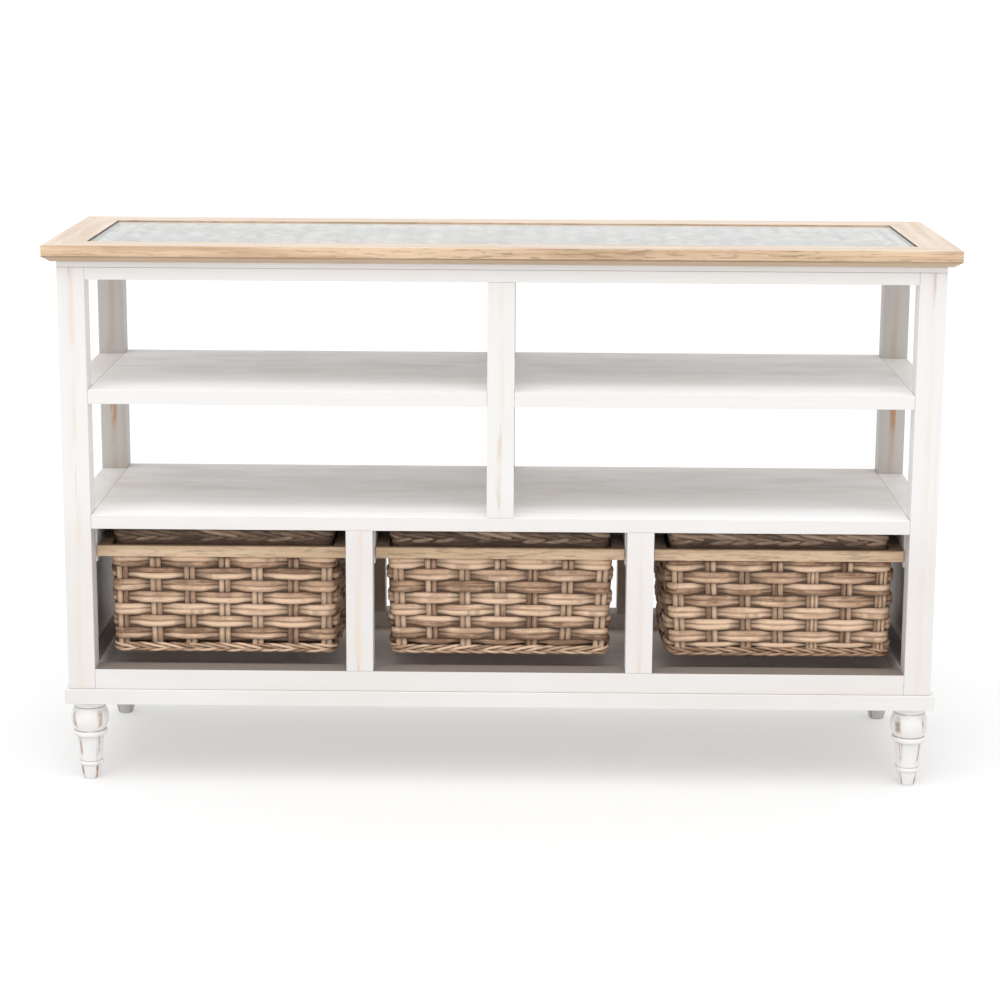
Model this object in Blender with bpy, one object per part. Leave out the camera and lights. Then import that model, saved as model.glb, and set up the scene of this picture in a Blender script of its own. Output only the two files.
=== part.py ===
# Console table with two open shelf tiers, a glazed top over a woven panel and three pull-out wicker
# baskets, on four turned legs. All driving sizes are in millimetres and turned into metres at the end.
# Frame: +X is the table's right, the front faces -Y, +Z is up, and the feet stand on z = 0.
import math

import bmesh
import bpy

# Top
TOP_WIDTH = 1500.0
TOP_DEPTH = 470.0
TOP_HEIGHT = 920.0
TOP_EDGE = 18.5
TOP_CHAMFER_HIGH = 9.0
TOP_CHAMFER_DEEP = 13.0
TOP_FRAME_WIDE = 65.0
GLASS_THICK = 5.0
GLASS_SUNK = 1.8
WEAVE_THICK = 20.1
SUB_TOP_THICK = 10.0

# Body
BODY_HALF = 729.0
BODY_FRONT = -214.0
BODY_BACK = 232.0
POST = 45.0
APRON_HIGH = 20.0
RAIL_THICK = 23.0
LOWER_SHELF_TOP = 466.5
UPPER_SHELF_TOP = 678.2
SHELF_BOARD_THICK = 18.0
BOTTOM_RAIL_LOW = 165.4
BOTTOM_RAIL_TOP = 199.7
BOTTOM_BOARD_THICK = 5.0
STILE_CENTRE = 235.5
SIDE_PANEL_INNER = 710.0
SIDE_PANEL_THICK = 8.0

# Base
PLINTH_LOW = 139.8
PLINTH_TOP = 165.1
PLINTH_PROUD = 6.0
PLINTH_PROUD_BACK = 3.0
PLINTH_WIDE = 75.0
LEG_INSET = 29.5
LEG_SIDES = 32

# Baskets and what they hang on
BAY_HALF = 213.0
RIM_HALF = 210.5
RIM_FRONT = -174.0
RIM_BACK = 180.0
RIM_LOW = 387.0
RIM_TOP = 405.7
RIM_SIDE_WIDE = 22.0
RIM_END_WIDE = 12.0
RUNNER_PROUD = 2.0
RUNNER_THICK = 18.0
RUNNER_LOW = 377.0
LEDGE_WIDE = 7.0
LEDGE_FRONT = -130.0
WALL = 9.0
BASKET_LOW = 216.0
BRAID_TOP = 427.0
BASKET_TRAVEL = 420.0

GAP = 0.3
EDGE = 0.5

WHITE = ("white_paint", (0.86, 0.855, 0.84), 0.55, 0.0)
OAK = ("light_oak", (0.78, 0.62, 0.44), 0.5, 0.0)
RIM_WOOD = ("rim_wood", (0.60, 0.44, 0.29), 0.6, 0.0)
WICKER = ("wicker", (0.38, 0.26, 0.17), 0.7, 0.0)
WEAVE = ("white_weave", (0.66, 0.67, 0.65), 0.75, 0.0)
GLASS = ("clear_glass", (0.75, 0.86, 0.84), 0.05, 0.0)


def clear_scene():
    for thing in list(bpy.data.objects):
        bpy.data.objects.remove(thing)


def material(spec):
    name, colour, rough, metal = spec
    found = bpy.data.materials.get(name)
    if found:
        return found
    made = bpy.data.materials.new(name)
    made.use_nodes = True
    shader = made.node_tree.nodes["Principled BSDF"]
    shader.inputs["Base Color"].default_value = (*colour, 1.0)
    shader.inputs["Roughness"].default_value = rough
    shader.inputs["Metallic"].default_value = metal
    if name == "clear_glass":
        shader.inputs["Transmission Weight"].default_value = 1.0
    return made


def node_from(name, verts, faces, spec, origin=(0.0, 0.0, 0.0), smooth=False):
    """One named object from points in millimetres, with its origin moved to the one given."""
    mesh = bpy.data.meshes.new(name)
    ox, oy, oz = origin
    points = [((x - ox) / 1000.0, (y - oy) / 1000.0, (z - oz) / 1000.0) for x, y, z in verts]
    mesh.from_pydata(points, [], faces)
    build = bmesh.new()
    build.from_mesh(mesh)
    bmesh.ops.recalc_face_normals(build, faces=build.faces)
    build.to_mesh(mesh)
    build.free()
    for face in mesh.polygons:
        face.use_smooth = smooth
    node = bpy.data.objects.new(name, mesh)
    node.location = (ox / 1000.0, oy / 1000.0, oz / 1000.0)
    bpy.context.scene.collection.objects.link(node)
    mesh.materials.append(material(spec))
    return node


def soften(node, width):
    """Breaks the sharp edges by the width given, in millimetres."""
    bevel = node.modifiers.new("edges", "BEVEL")
    bevel.width = width / 1000.0
    bevel.segments = 1
    bevel.limit_method = "ANGLE"
    bevel.angle_limit = math.radians(30.0)
    return node


def board(name, x, y, z, spec=WHITE, edge=EDGE):
    """A straight board between the two limits given along each axis."""
    verts = [(px, py, pz) for px in x for py in y for pz in z]
    faces = [(0, 1, 3, 2), (4, 6, 7, 5), (0, 4, 5, 1), (2, 3, 7, 6), (0, 2, 6, 4), (1, 5, 7, 3)]
    node = node_from(name, verts, faces, spec)
    if edge:
        soften(node, edge)
    return node


def loft(rings):
    """Points and faces through rings of equal length, closed at both ends."""
    count = len(rings[0])
    verts = [point for ring in rings for point in ring]
    faces = []
    for row in range(len(rings) - 1):
        for k in range(count):
            a = row * count + k
            b = row * count + (k + 1) % count
            faces.append((a, b, b + count, a + count))
    faces.append(tuple(range(count)))
    faces.append(tuple(range(len(verts) - count, len(verts))))
    return verts, faces


def ring_body(loops):
    """Points and faces of a solid ring whose section has the loops given as its corners."""
    count = len(loops[0])
    verts = [point for loop in loops for point in loop]
    faces = []
    for row in range(len(loops)):
        for k in range(count):
            a = row * count + k
            b = row * count + (k + 1) % count
            c = ((row + 1) % len(loops)) * count + (k + 1) % count
            d = ((row + 1) % len(loops)) * count + k
            faces.append((a, b, c, d))
    return verts, faces


def round_rect(x, y, radius, z, centre_x, steps):
    """A rounded rectangle at one height, with the corner radius given."""
    points = []
    for k in range(4):
        sx = (1, -1, -1, 1)[k]
        sy = (1, 1, -1, -1)[k]
        cx = x[1] - radius if sx > 0 else x[0] + radius
        cy = y[1] - radius if sy > 0 else y[0] + radius
        for s in range(steps + 1):
            turn = math.radians(90.0 * k + 90.0 * s / steps)
            points.append((centre_x + cx + radius * math.cos(turn), cy + radius * math.sin(turn), z))
    return points


# ---- Top: a mitred oak frame round a woven panel, the glass that lies on it and the board below ----
def top_frame():
    half_x = TOP_WIDTH / 2.0
    half_y = TOP_DEPTH / 2.0
    top = TOP_HEIGHT
    low = TOP_HEIGHT - TOP_EDGE - TOP_CHAMFER_HIGH
    wide = TOP_FRAME_WIDE
    # Section, from the outside inwards: distance in from the outer edge, and height.
    section = [
        (0.8, top),
        (0.0, top - 0.8),
        (0.0, top - TOP_EDGE),
        (TOP_CHAMFER_DEEP, low),
        (wide, low),
        (wide, top - 0.6),
        (wide - 0.6, top),
    ]
    shave = GAP / 2.0

    def rail(name, long_half, out, turned):
        rings = []
        for side in (-1, 1):
            ring = []
            for inset, z in section:
                along = side * (long_half - inset - shave)
                across = out * ((half_x if turned else half_y) - inset)
                ring.append((across, along, z) if turned else (along, across, z))
            rings.append(ring)
        verts, faces = loft(rings)
        return node_from(name, verts, faces, OAK)

    rail("top_front_rail", half_x, -1, False)
    rail("top_back_rail", half_x, 1, False)
    rail("top_left_rail", half_y, -1, True)
    rail("top_right_rail", half_y, 1, True)

    in_x = half_x - wide - GAP
    in_y = half_y - wide - GAP
    glass_low = TOP_HEIGHT - GLASS_SUNK - GLASS_THICK
    board("top_glass", (-in_x, in_x), (-in_y, in_y), (glass_low, glass_low + GLASS_THICK), GLASS, 0.5)
    low = TOP_HEIGHT - TOP_EDGE - TOP_CHAMFER_HIGH + GAP
    board("top_woven_panel", (-in_x, in_x), (-in_y, in_y), (low, low + WEAVE_THICK), WEAVE, 0.8)


TOP_LOW = TOP_HEIGHT - TOP_EDGE - TOP_CHAMFER_HIGH
SUB_TOP = TOP_LOW - GAP
FRAME_TOP = SUB_TOP - SUB_TOP_THICK - GAP
INNER = BODY_HALF - POST
FRONT_IN = BODY_FRONT + POST
BACK_IN = BODY_BACK - POST
SHELF_LOW = LOWER_SHELF_TOP - RAIL_THICK


# ---- Upright posts, aprons and rails ----
def carcass():
    board(
        "sub_top_board",
        (-BODY_HALF, BODY_HALF),
        (BODY_FRONT, BODY_BACK),
        (SUB_TOP - SUB_TOP_THICK, SUB_TOP),
        WHITE,
        1.0,
    )
    for side, sign in (("left", -1), ("right", 1)):
        x = sorted((sign * INNER, sign * BODY_HALF))
        board("post_front_" + side, x, (BODY_FRONT, FRONT_IN), (BOTTOM_RAIL_LOW, FRAME_TOP))
        board("post_rear_" + side, x, (BACK_IN, BODY_BACK), (BOTTOM_RAIL_LOW, FRAME_TOP))

    long = (-INNER + GAP, INNER - GAP)
    deep = (FRONT_IN + GAP, BACK_IN - GAP)
    front = (BODY_FRONT, FRONT_IN)
    back = (BACK_IN, BODY_BACK)
    apron = (FRAME_TOP - APRON_HIGH, FRAME_TOP)
    shelf = (SHELF_LOW, LOWER_SHELF_TOP)
    base = (BOTTOM_RAIL_LOW, BOTTOM_RAIL_TOP)
    for name, z in (("apron_", apron), ("lower_shelf_rail_", shelf), ("bottom_rail_", base)):
        board(name + "front", long, front, z)
        board(name + "back", long, back, z)
        for side, sign in (("left", -1), ("right", 1)):
            board(name + side, sorted((sign * INNER, sign * BODY_HALF)), deep, z)

    # Centre posts run unbroken through the upper shelf, so its long rails are in two halves.
    half = POST / 2.0
    tall = (LOWER_SHELF_TOP + GAP, FRAME_TOP - APRON_HIGH - GAP)
    board("centre_post_front", (-half, half), front, tall)
    board("centre_post_rear", (-half, half), back, tall)
    upper = (UPPER_SHELF_TOP - RAIL_THICK, UPPER_SHELF_TOP)
    for side, sign in (("left", -1), ("right", 1)):
        x = sorted((sign * (half + GAP), sign * (INNER - GAP)))
        board("upper_shelf_rail_front_" + side, x, front, upper)
        board("upper_shelf_rail_back_" + side, x, back, upper)
        x = sorted((sign * INNER, sign * BODY_HALF))
        board("upper_shelf_rail_" + side, x, deep, upper)

    # Shelf boards lie between the rails, flush with their tops.
    for name, top in (("upper_shelf_board", UPPER_SHELF_TOP), ("lower_shelf_board", LOWER_SHELF_TOP)):
        board(name, long, deep, (top - SHELF_BOARD_THICK, top), WHITE, 0.8)
    low = PLINTH_TOP + GAP
    board("bottom_board", long, deep, (low, low + BOTTOM_BOARD_THICK), WHITE, 0.6)

    # Stiles part the basket tier into three bays.
    tall = (BOTTOM_RAIL_TOP + GAP, SHELF_LOW - GAP)
    for side, sign in (("left", -1), ("right", 1)):
        x = sorted((sign * (STILE_CENTRE - half), sign * (STILE_CENTRE + half)))
        board("stile_front_" + side, x, front, tall)
        board("stile_rear_" + side, x, back, tall)
        x = sorted((sign * SIDE_PANEL_INNER, sign * (SIDE_PANEL_INNER + SIDE_PANEL_THICK)))
        board("side_panel_" + side, x, deep, tall, WHITE, 0.6)


# ---- Base: four plinth boards and four turned legs ----
def plinth():
    out_x = BODY_HALF + PLINTH_PROUD
    front = BODY_FRONT - PLINTH_PROUD
    back = BODY_BACK + PLINTH_PROUD_BACK
    z = (PLINTH_LOW, PLINTH_TOP)
    shave = GAP / 2.0
    middle = (front + back) / 2.0
    half_y = (back - front) / 2.0

    def mitred(name, long_half, out, turned):
        rings = []
        for side in (-1, 1):
            ring = []
            for inset, height in ((0.0, z[1]), (0.0, z[0]), (PLINTH_WIDE, z[0]), (PLINTH_WIDE, z[1])):
                along = side * (long_half - inset - shave)
                across = out * ((out_x if turned else half_y) - inset)
                point = (across, middle + along, height) if turned else (along, middle + across, height)
                ring.append(point)
            rings.append(ring)
        verts, faces = loft(rings)
        return soften(node_from(name, verts, faces, WHITE), EDGE)

    mitred("plinth_front", out_x, -1, False)
    mitred("plinth_back", out_x, 1, False)
    mitred("plinth_left", half_y, -1, True)
    mitred("plinth_right", half_y, 1, True)


# Turned profile of a leg: height above the floor and radius, from the foot to the top.
LEG_PROFILE = [
    (0.0, 12.6),
    (1.2, 13.8),
    (8.0, 15.6),
    (16.0, 17.2),
    (22.0, 18.0),
    (24.6, 18.2),
    (25.6, 19.6),
    (27.0, 21.2),
    (29.0, 21.6),
    (31.0, 21.0),
    (32.2, 19.6),
    (33.4, 19.2),
    (45.0, 19.6),
    (58.0, 20.8),
    (68.0, 21.8),
    (75.0, 22.6),
    (77.4, 23.4),
    (78.4, 26.0),
    (80.2, 28.4),
    (83.0, 29.2),
    (85.6, 28.4),
    (87.0, 26.6),
    (88.2, 26.2),
    (92.0, 28.2),
    (98.0, 30.6),
    (105.0, 31.9),
    (112.0, 31.9),
    (119.0, 30.6),
    (125.0, 28.2),
    (128.6, 26.4),
    (129.6, 26.6),
    (138.6, 26.6),
    (139.5, 25.8),
]


def legs():
    x = BODY_HALF - LEG_INSET
    for side, sign in (("left", -1), ("right", 1)):
        for row, y in (("front", BODY_FRONT + LEG_INSET), ("rear", BODY_BACK - LEG_INSET)):
            rings = []
            for height, radius in LEG_PROFILE:
                ring = []
                for k in range(LEG_SIDES):
                    turn = 2.0 * math.pi * k / LEG_SIDES
                    ring.append((sign * x + radius * math.cos(turn), y + radius * math.sin(turn), height))
                rings.append(ring)
            verts, faces = loft(rings)
            leg = node_from("leg_%s_%s" % (row, side), verts, faces, WHITE, (sign * x, y, 0.0), True)
            for face in leg.data.polygons:
                if len(face.vertices) > 4:
                    face.use_smooth = False


# ---- Runners: each has a guide face that stands proud of the stile and a ledge under the rim ----
def runners():
    top = SHELF_LOW - GAP
    low = RUNNER_LOW
    rest = RIM_LOW - GAP
    y_front = FRONT_IN + GAP
    y_back = BACK_IN - GAP
    face = BAY_HALF - RUNNER_PROUD
    out = face + RUNNER_THICK
    lip = face - LEDGE_WIDE
    bays = (("left", -2.0 * STILE_CENTRE), ("centre", 0.0), ("right", 2.0 * STILE_CENTRE))
    for bay, centre in bays:
        for side, sign in (("left", -1), ("right", 1)):
            far = out
            if (bay, side) in (("left", "left"), ("right", "right")):
                far = SIDE_PANEL_INNER - abs(centre) - GAP
            lead = LEDGE_FRONT + (rest - low)
            # The ledge starts behind the front of the board, with a sloping lead under it.
            plate = [(far, top), (face, top), (face, rest), (face, low), (far, low)]
            verts = []
            for y in (y_front, LEDGE_FRONT, lead, y_back):
                for x, z in plate:
                    verts.append((centre + sign * x, y, z))
            base = len(verts)
            verts.append((centre + sign * lip, LEDGE_FRONT, rest))
            verts.append((centre + sign * lip, lead, rest))
            verts.append((centre + sign * lip, y_back, rest))
            verts.append((centre + sign * lip, lead, low))
            verts.append((centre + sign * lip, y_back, low))
            faces = [(0, 1, 2, 3, 4), (15, 19, 18, base + 4, base + 2, 17, 16)]
            for row in (0, 5, 10):
                faces.append((row, row + 1, row + 6, row + 5))
                faces.append((row + 1, row + 2, row + 7, row + 6))
                faces.append((row + 3, row + 4, row + 9, row + 8))
                faces.append((row + 4, row, row + 5, row + 9))
            faces.append((2, 3, 8, 7))
            faces.append((7, 8, 13))
            faces.append((7, base, base + 1, 12))
            faces.append((12, base + 1, base + 2, 17))
            faces.append((7, 13, base + 3, base))
            faces.append((base, base + 3, base + 1))
            faces.append((base + 1, base + 3, base + 4, base + 2))
            faces.append((13, 18, base + 4, base + 3))
            node_from("runner_%s_bay_%s" % (bay, side), verts, faces, WHITE)


# ---- Baskets: a wooden rim frame with a woven tub hung through it by its braided border ----
def baskets():
    bays = (("left", -2.0 * STILE_CENTRE), ("centre", 0.0), ("right", 2.0 * STILE_CENTRE))
    for bay, centre in bays:
        origin = (centre, RIM_FRONT, RIM_LOW)
        in_x = RIM_HALF - RIM_SIDE_WIDE
        in_front = RIM_FRONT + RIM_END_WIDE
        in_back = RIM_BACK - RIM_END_WIDE
        loops = []
        for x, front, back, z in (
            (RIM_HALF, RIM_FRONT, RIM_BACK, RIM_LOW),
            (RIM_HALF, RIM_FRONT, RIM_BACK, RIM_TOP),
            (in_x, in_front, in_back, RIM_TOP),
            (in_x, in_front, in_back, RIM_LOW),
        ):
            loop = [(centre - x, front, z), (centre + x, front, z), (centre + x, back, z), (centre - x, back, z)]
            loops.append(loop)
        verts, faces = ring_body(loops)
        soften(node_from("basket_rim_" + bay, verts, faces, RIM_WOOD, origin), 1.0)

        # The tub from its mouth down the outside, along the bottom and back up the inside.
        neck = in_x - GAP - 0.4
        neck_front = in_front + GAP + 0.4
        neck_back = in_back - GAP - 0.4
        top_x = neck + 3.0
        front = neck_front - 3.0
        back = neck_back + 3.0
        low_x = top_x - 7.0
        low_front = front + 7.0
        low_back = back - 7.0
        border_low = RIM_TOP + GAP
        under = RIM_LOW - GAP
        outside = [
            (neck - 1.0, neck_front + 1.0, neck_back - 1.0, BRAID_TOP),
            (neck + 3.0, neck_front - 2.4, neck_back + 2.4, BRAID_TOP - 3.5),
            (neck + 5.0, neck_front - 3.4, neck_back + 3.4, BRAID_TOP - 10.0),
            (neck + 4.0, neck_front - 2.6, neck_back + 2.6, border_low + 3.0),
            (neck + 2.0, neck_front - 1.6, neck_back + 1.6, border_low),
            (neck, neck_front, neck_back, border_low),
            (neck, neck_front, neck_back, under),
            (top_x, front, back, under),
            (low_x, low_front, low_back, BASKET_LOW + 14.0),
            (low_x + 3.0, low_front - 3.0, low_back + 3.0, BASKET_LOW + 10.0),
            (low_x + 3.0, low_front - 3.0, low_back + 3.0, BASKET_LOW + 4.0),
            (low_x - 2.0, low_front + 2.0, low_back - 2.0, BASKET_LOW),
        ]
        inside = [
            (low_x - WALL, low_front + WALL, low_back - WALL, BASKET_LOW + WALL),
            (top_x - WALL - 1.0, front + WALL + 1.0, back - WALL - 1.0, under - 4.0),
            (neck - WALL, neck_front + WALL, neck_back - WALL, BRAID_TOP - 6.0),
            (neck - WALL + 2.0, neck_front + WALL - 2.0, neck_back - WALL + 2.0, BRAID_TOP - 1.5),
        ]
        rings = []
        for x, y0, y1, z in outside:
            rings.append(round_rect((-x, x), (y0, y1), 16.0, z, centre, 4))
        for x, y0, y1, z in inside:
            rings.append(round_rect((-x, x), (y0, y1), 11.0, z, centre, 4))
        count = len(rings[0])
        verts = [point for ring in rings for point in ring]
        faces = []
        last = len(outside) - 1
        for row in range(len(rings)):
            if row == last:
                continue
            nxt = (row + 1) % len(rings)
            for k in range(count):
                j = (k + 1) % count
                faces.append((row * count + k, row * count + j, nxt * count + j, nxt * count + k))
        faces.append(tuple(range(last * count, (last + 1) * count)))
        faces.append(tuple(range((last + 1) * count, (last + 2) * count)))
        node_from("basket_tub_" + bay, verts, faces, WICKER, origin)


clear_scene()
top_frame()
carcass()
plinth()
legs()
runners()
baskets()
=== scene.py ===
"""Looks for the console table with three wicker baskets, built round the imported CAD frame."""

import math
import random

import bpy
import numpy as np
from mathutils import Matrix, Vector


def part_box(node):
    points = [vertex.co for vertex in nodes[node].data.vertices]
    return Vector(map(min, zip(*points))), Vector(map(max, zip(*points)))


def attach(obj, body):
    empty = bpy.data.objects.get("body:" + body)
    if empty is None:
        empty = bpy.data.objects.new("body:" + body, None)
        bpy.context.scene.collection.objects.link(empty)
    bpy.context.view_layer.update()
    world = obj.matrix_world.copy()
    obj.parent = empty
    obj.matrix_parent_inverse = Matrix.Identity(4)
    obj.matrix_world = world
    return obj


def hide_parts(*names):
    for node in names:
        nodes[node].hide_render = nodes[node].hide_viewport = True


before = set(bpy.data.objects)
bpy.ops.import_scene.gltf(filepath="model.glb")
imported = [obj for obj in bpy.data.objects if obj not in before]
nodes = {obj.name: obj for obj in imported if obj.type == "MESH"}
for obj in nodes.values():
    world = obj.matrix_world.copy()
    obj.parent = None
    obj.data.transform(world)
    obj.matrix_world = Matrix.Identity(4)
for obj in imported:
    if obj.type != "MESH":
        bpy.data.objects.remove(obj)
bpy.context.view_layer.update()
MM = 0.001


# ---------------------------------------------------------------- node helpers
class Tree:
    """A short way to write a material's nodes."""

    def __init__(self, name):
        self.material = bpy.data.materials.new(name)
        self.material.use_nodes = True
        self.tree = self.material.node_tree
        self.tree.nodes.clear()
        self.output = self.tree.nodes.new("ShaderNodeOutputMaterial")

    def add(self, kind, inputs=None, **settings):
        node = self.tree.nodes.new("ShaderNode" + kind)
        for key, value in settings.items():
            setattr(node, key, value)
        for key, value in (inputs or {}).items():
            self.feed(node.inputs[key], value)
        return node

    def feed(self, socket, value):
        if isinstance(value, bpy.types.NodeSocket):
            self.tree.links.new(value, socket)
        elif value is not None:
            socket.default_value = value

    def math(self, operation, a, b=None):
        node = self.add("Math", operation=operation)
        for socket, value in zip(node.inputs, (a, b)):
            self.feed(socket, value)
        return node.outputs[0]

    def times(self, a, b):
        return self.math("MULTIPLY", a, b)

    def plus(self, a, b):
        return self.math("ADD", a, b)

    def minus(self, a, b):
        return self.math("SUBTRACT", a, b)

    def size(self, a):
        return self.math("ABSOLUTE", a)

    def place(self):
        """The point on the piece, in the frame that all pieces share."""
        return self.add("TexCoord").outputs["Object"]

    def part(self, vector, axis):
        return self.add("SeparateXYZ", {"Vector": vector}).outputs[axis]

    def facing(self, axis):
        """How far the surface looks along one axis, from -1 to 1."""
        return self.part(self.add("NewGeometry").outputs["Normal"], axis)

    def noise(self, vector, scale, detail=4.0, rough=0.55, distortion=0.0, out="Fac"):
        node = self.add("TexNoise", {"Vector": vector, "Scale": scale, "Detail": detail})
        self.feed(node.inputs["Roughness"], rough)
        self.feed(node.inputs["Distortion"], distortion)
        return node.outputs[out]

    def stretch(self, vector, scale, shift=(0.0, 0.0, 0.0)):
        node = self.add("Mapping", {"Vector": vector, "Scale": scale, "Location": shift})
        return node.outputs[0]

    def ramp(self, value, stops, mode="EASE"):
        node = self.add("ValToRGB", {"Fac": value})
        node.color_ramp.interpolation = mode
        band = node.color_ramp
        while len(band.elements) < len(stops):
            band.elements.new(0.5)
        for element, (place, colour) in zip(band.elements, stops):
            element.position = place
            if not isinstance(colour, (tuple, list)):
                colour = (colour, colour, colour)
            element.color = (*colour, 1.0)
        return node.outputs[0]

    def step(self, value, low, high, to_low=0.0, to_high=1.0):
        node = self.add(
            "MapRange",
            {"Value": value, "From Min": low, "From Max": high, "To Min": to_low, "To Max": to_high},
            interpolation_type="SMOOTHSTEP",
        )
        return node.outputs[0]

    def mix(self, share, a, b, blend="MIX"):
        node = self.add("Mix", data_type="RGBA", blend_type=blend)
        self.feed(node.inputs[0], share)
        for socket, value in ((node.inputs[6], a), (node.inputs[7], b)):
            if isinstance(value, tuple) and len(value) == 3:
                value = (*value, 1.0)
            self.feed(socket, value)
        return node.outputs[2]

    def bump(self, height, strength, distance, normal=None):
        node = self.add("Bump", {"Height": height, "Strength": strength, "Distance": distance})
        if normal is not None:
            self.feed(node.inputs["Normal"], normal)
        return node.outputs[0]

    def surface(self, shader):
        self.tree.links.new(shader, self.output.inputs[0])
        return self.material

    def principled(self, colour, rough, normal=None, **plain):
        node = self.add("BsdfPrincipled", {"Base Color": colour, "Roughness": rough})
        if normal is not None:
            self.feed(node.inputs["Normal"], normal)
        for key, value in plain.items():
            node.inputs[key.replace("_", " ")].default_value = value
        return self.surface(node.outputs[0])


def along(axis, cross, lengthwise):
    """A scale that draws a pattern out along one axis."""
    scale = [cross, cross, cross]
    scale[axis] = lengthwise
    return tuple(scale)


def scaled(colour, share):
    return tuple(c * share for c in colour)


# ---------------------------------------------------------------- materials
WHITE = (0.80, 0.785, 0.77)
# Painted light for a shelf's lit front strip, then painted shade for its back.
SHELF_LIT_WHITE = (0.93, 0.925, 0.92)
SHELF_SHADE = (0.62, 0.575, 0.545)
BEIGE = (0.74, 0.59, 0.46)
TAN = (0.47, 0.31, 0.195)
BROWN = (0.30, 0.19, 0.12)
WORN_WOOD = (0.50, 0.33, 0.20)
DRIP_BROWN = (0.50, 0.27, 0.13)
# Heights: where painted shade starts and where it is full, darker downwards, and the rear posts' brown
# drip.
SHADE_START, SHADE_FULL = 0.52, 0.40
DRIP_LOW, DRIP_HIGH = (0.535, 0.562), (0.668, 0.660)
# Painted shade on upward faces stops short of the posts, at this distance from the middle.
SHADE_END = (0.7115, 0.7100)


def rub_post(t, colour, place, shift, thread, tall, centre, streak, brown):
    """Rubs a post through along the middle of its face: a broken band, slivers, and a drip if brown."""
    wander = t.noise(t.stretch(place, (0.0, 0.0, 1.0), shift), 5.0, 1.0)
    ragged = t.noise(t.stretch(place, (1.0, 1.0, 0.12), shift), 70.0, 3.0, 0.6)
    side = t.minus(t.part(place, 0), centre)
    side = t.plus(side, t.times(t.minus(wander, 0.5), 0.014))
    side = t.plus(side, t.times(t.minus(ragged, 0.5), 0.008))
    off = t.size(side)
    band = t.step(off, 0.0078, 0.0012)
    fade = t.step(t.noise(t.stretch(place, (0.0, 0.0, 1.0), shift), 3.2, 3.0, 0.7), 0.36, 0.56)
    body = t.times(t.times(band, fade), t.step(thread, 0.32, 0.62, 0.35, 1.0))
    colour = t.mix(t.times(body, streak), colour, TAN if brown else BEIGE)
    sliver = t.noise(t.stretch(place, (1.0, 1.0, 0.05), shift), 150.0, 2.0, 0.5, 0.6)
    fine = t.times(t.step(sliver, 0.60, 0.70), t.step(off, 0.010, 0.004))
    fine = t.times(fine, t.step(t.noise(place, 7.0, 2.0), 0.45, 0.60))
    colour = t.mix(t.times(fine, 0.35 + brown * 0.4), colour, BROWN)
    if brown:
        drip = t.noise(t.stretch(place, (1.0, 1.0, 0.10), shift), 95.0, 2.0, 0.5, 0.3)
        near = t.times(t.step(tall, *DRIP_HIGH), t.step(tall, *DRIP_LOW))
        near = t.times(near, t.step(off, 0.0068, 0.0034))
        near = t.times(near, t.step(drip, 0.30, 0.44))
        colour = t.mix(t.times(near, 0.85), colour, DRIP_BROWN)
    return colour


def light_shelf(t, colour, place, shift, axis, cloud, lit):
    """Lays painted shade on a shelf towards the back, in patches, and painted light on its upward faces
    from the depth lit forwards.
    """
    depth = t.part(place, 1)
    shade_patch = t.noise(t.stretch(place, along(axis, 1.0, 0.3), shift), 22.0, 4.0, 0.6)
    # Painted shade, in patches, towards the back.
    dusk = t.times(t.step(shade_patch, 0.40, 0.66), t.step(depth, lit + 0.03, lit + 0.20))
    colour = t.mix(t.times(dusk, 0.50), colour, SHELF_SHADE)
    # Painted light on the upward faces, from the lit depth forwards.
    reach = t.plus(depth, t.times(t.minus(cloud, 0.5), 0.05))
    lit_strip = t.times(t.step(reach, lit + 0.075, lit + 0.005), t.step(t.facing(2), 0.8, 0.97))
    return t.mix(lit_strip, colour, SHELF_LIT_WHITE)


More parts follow.
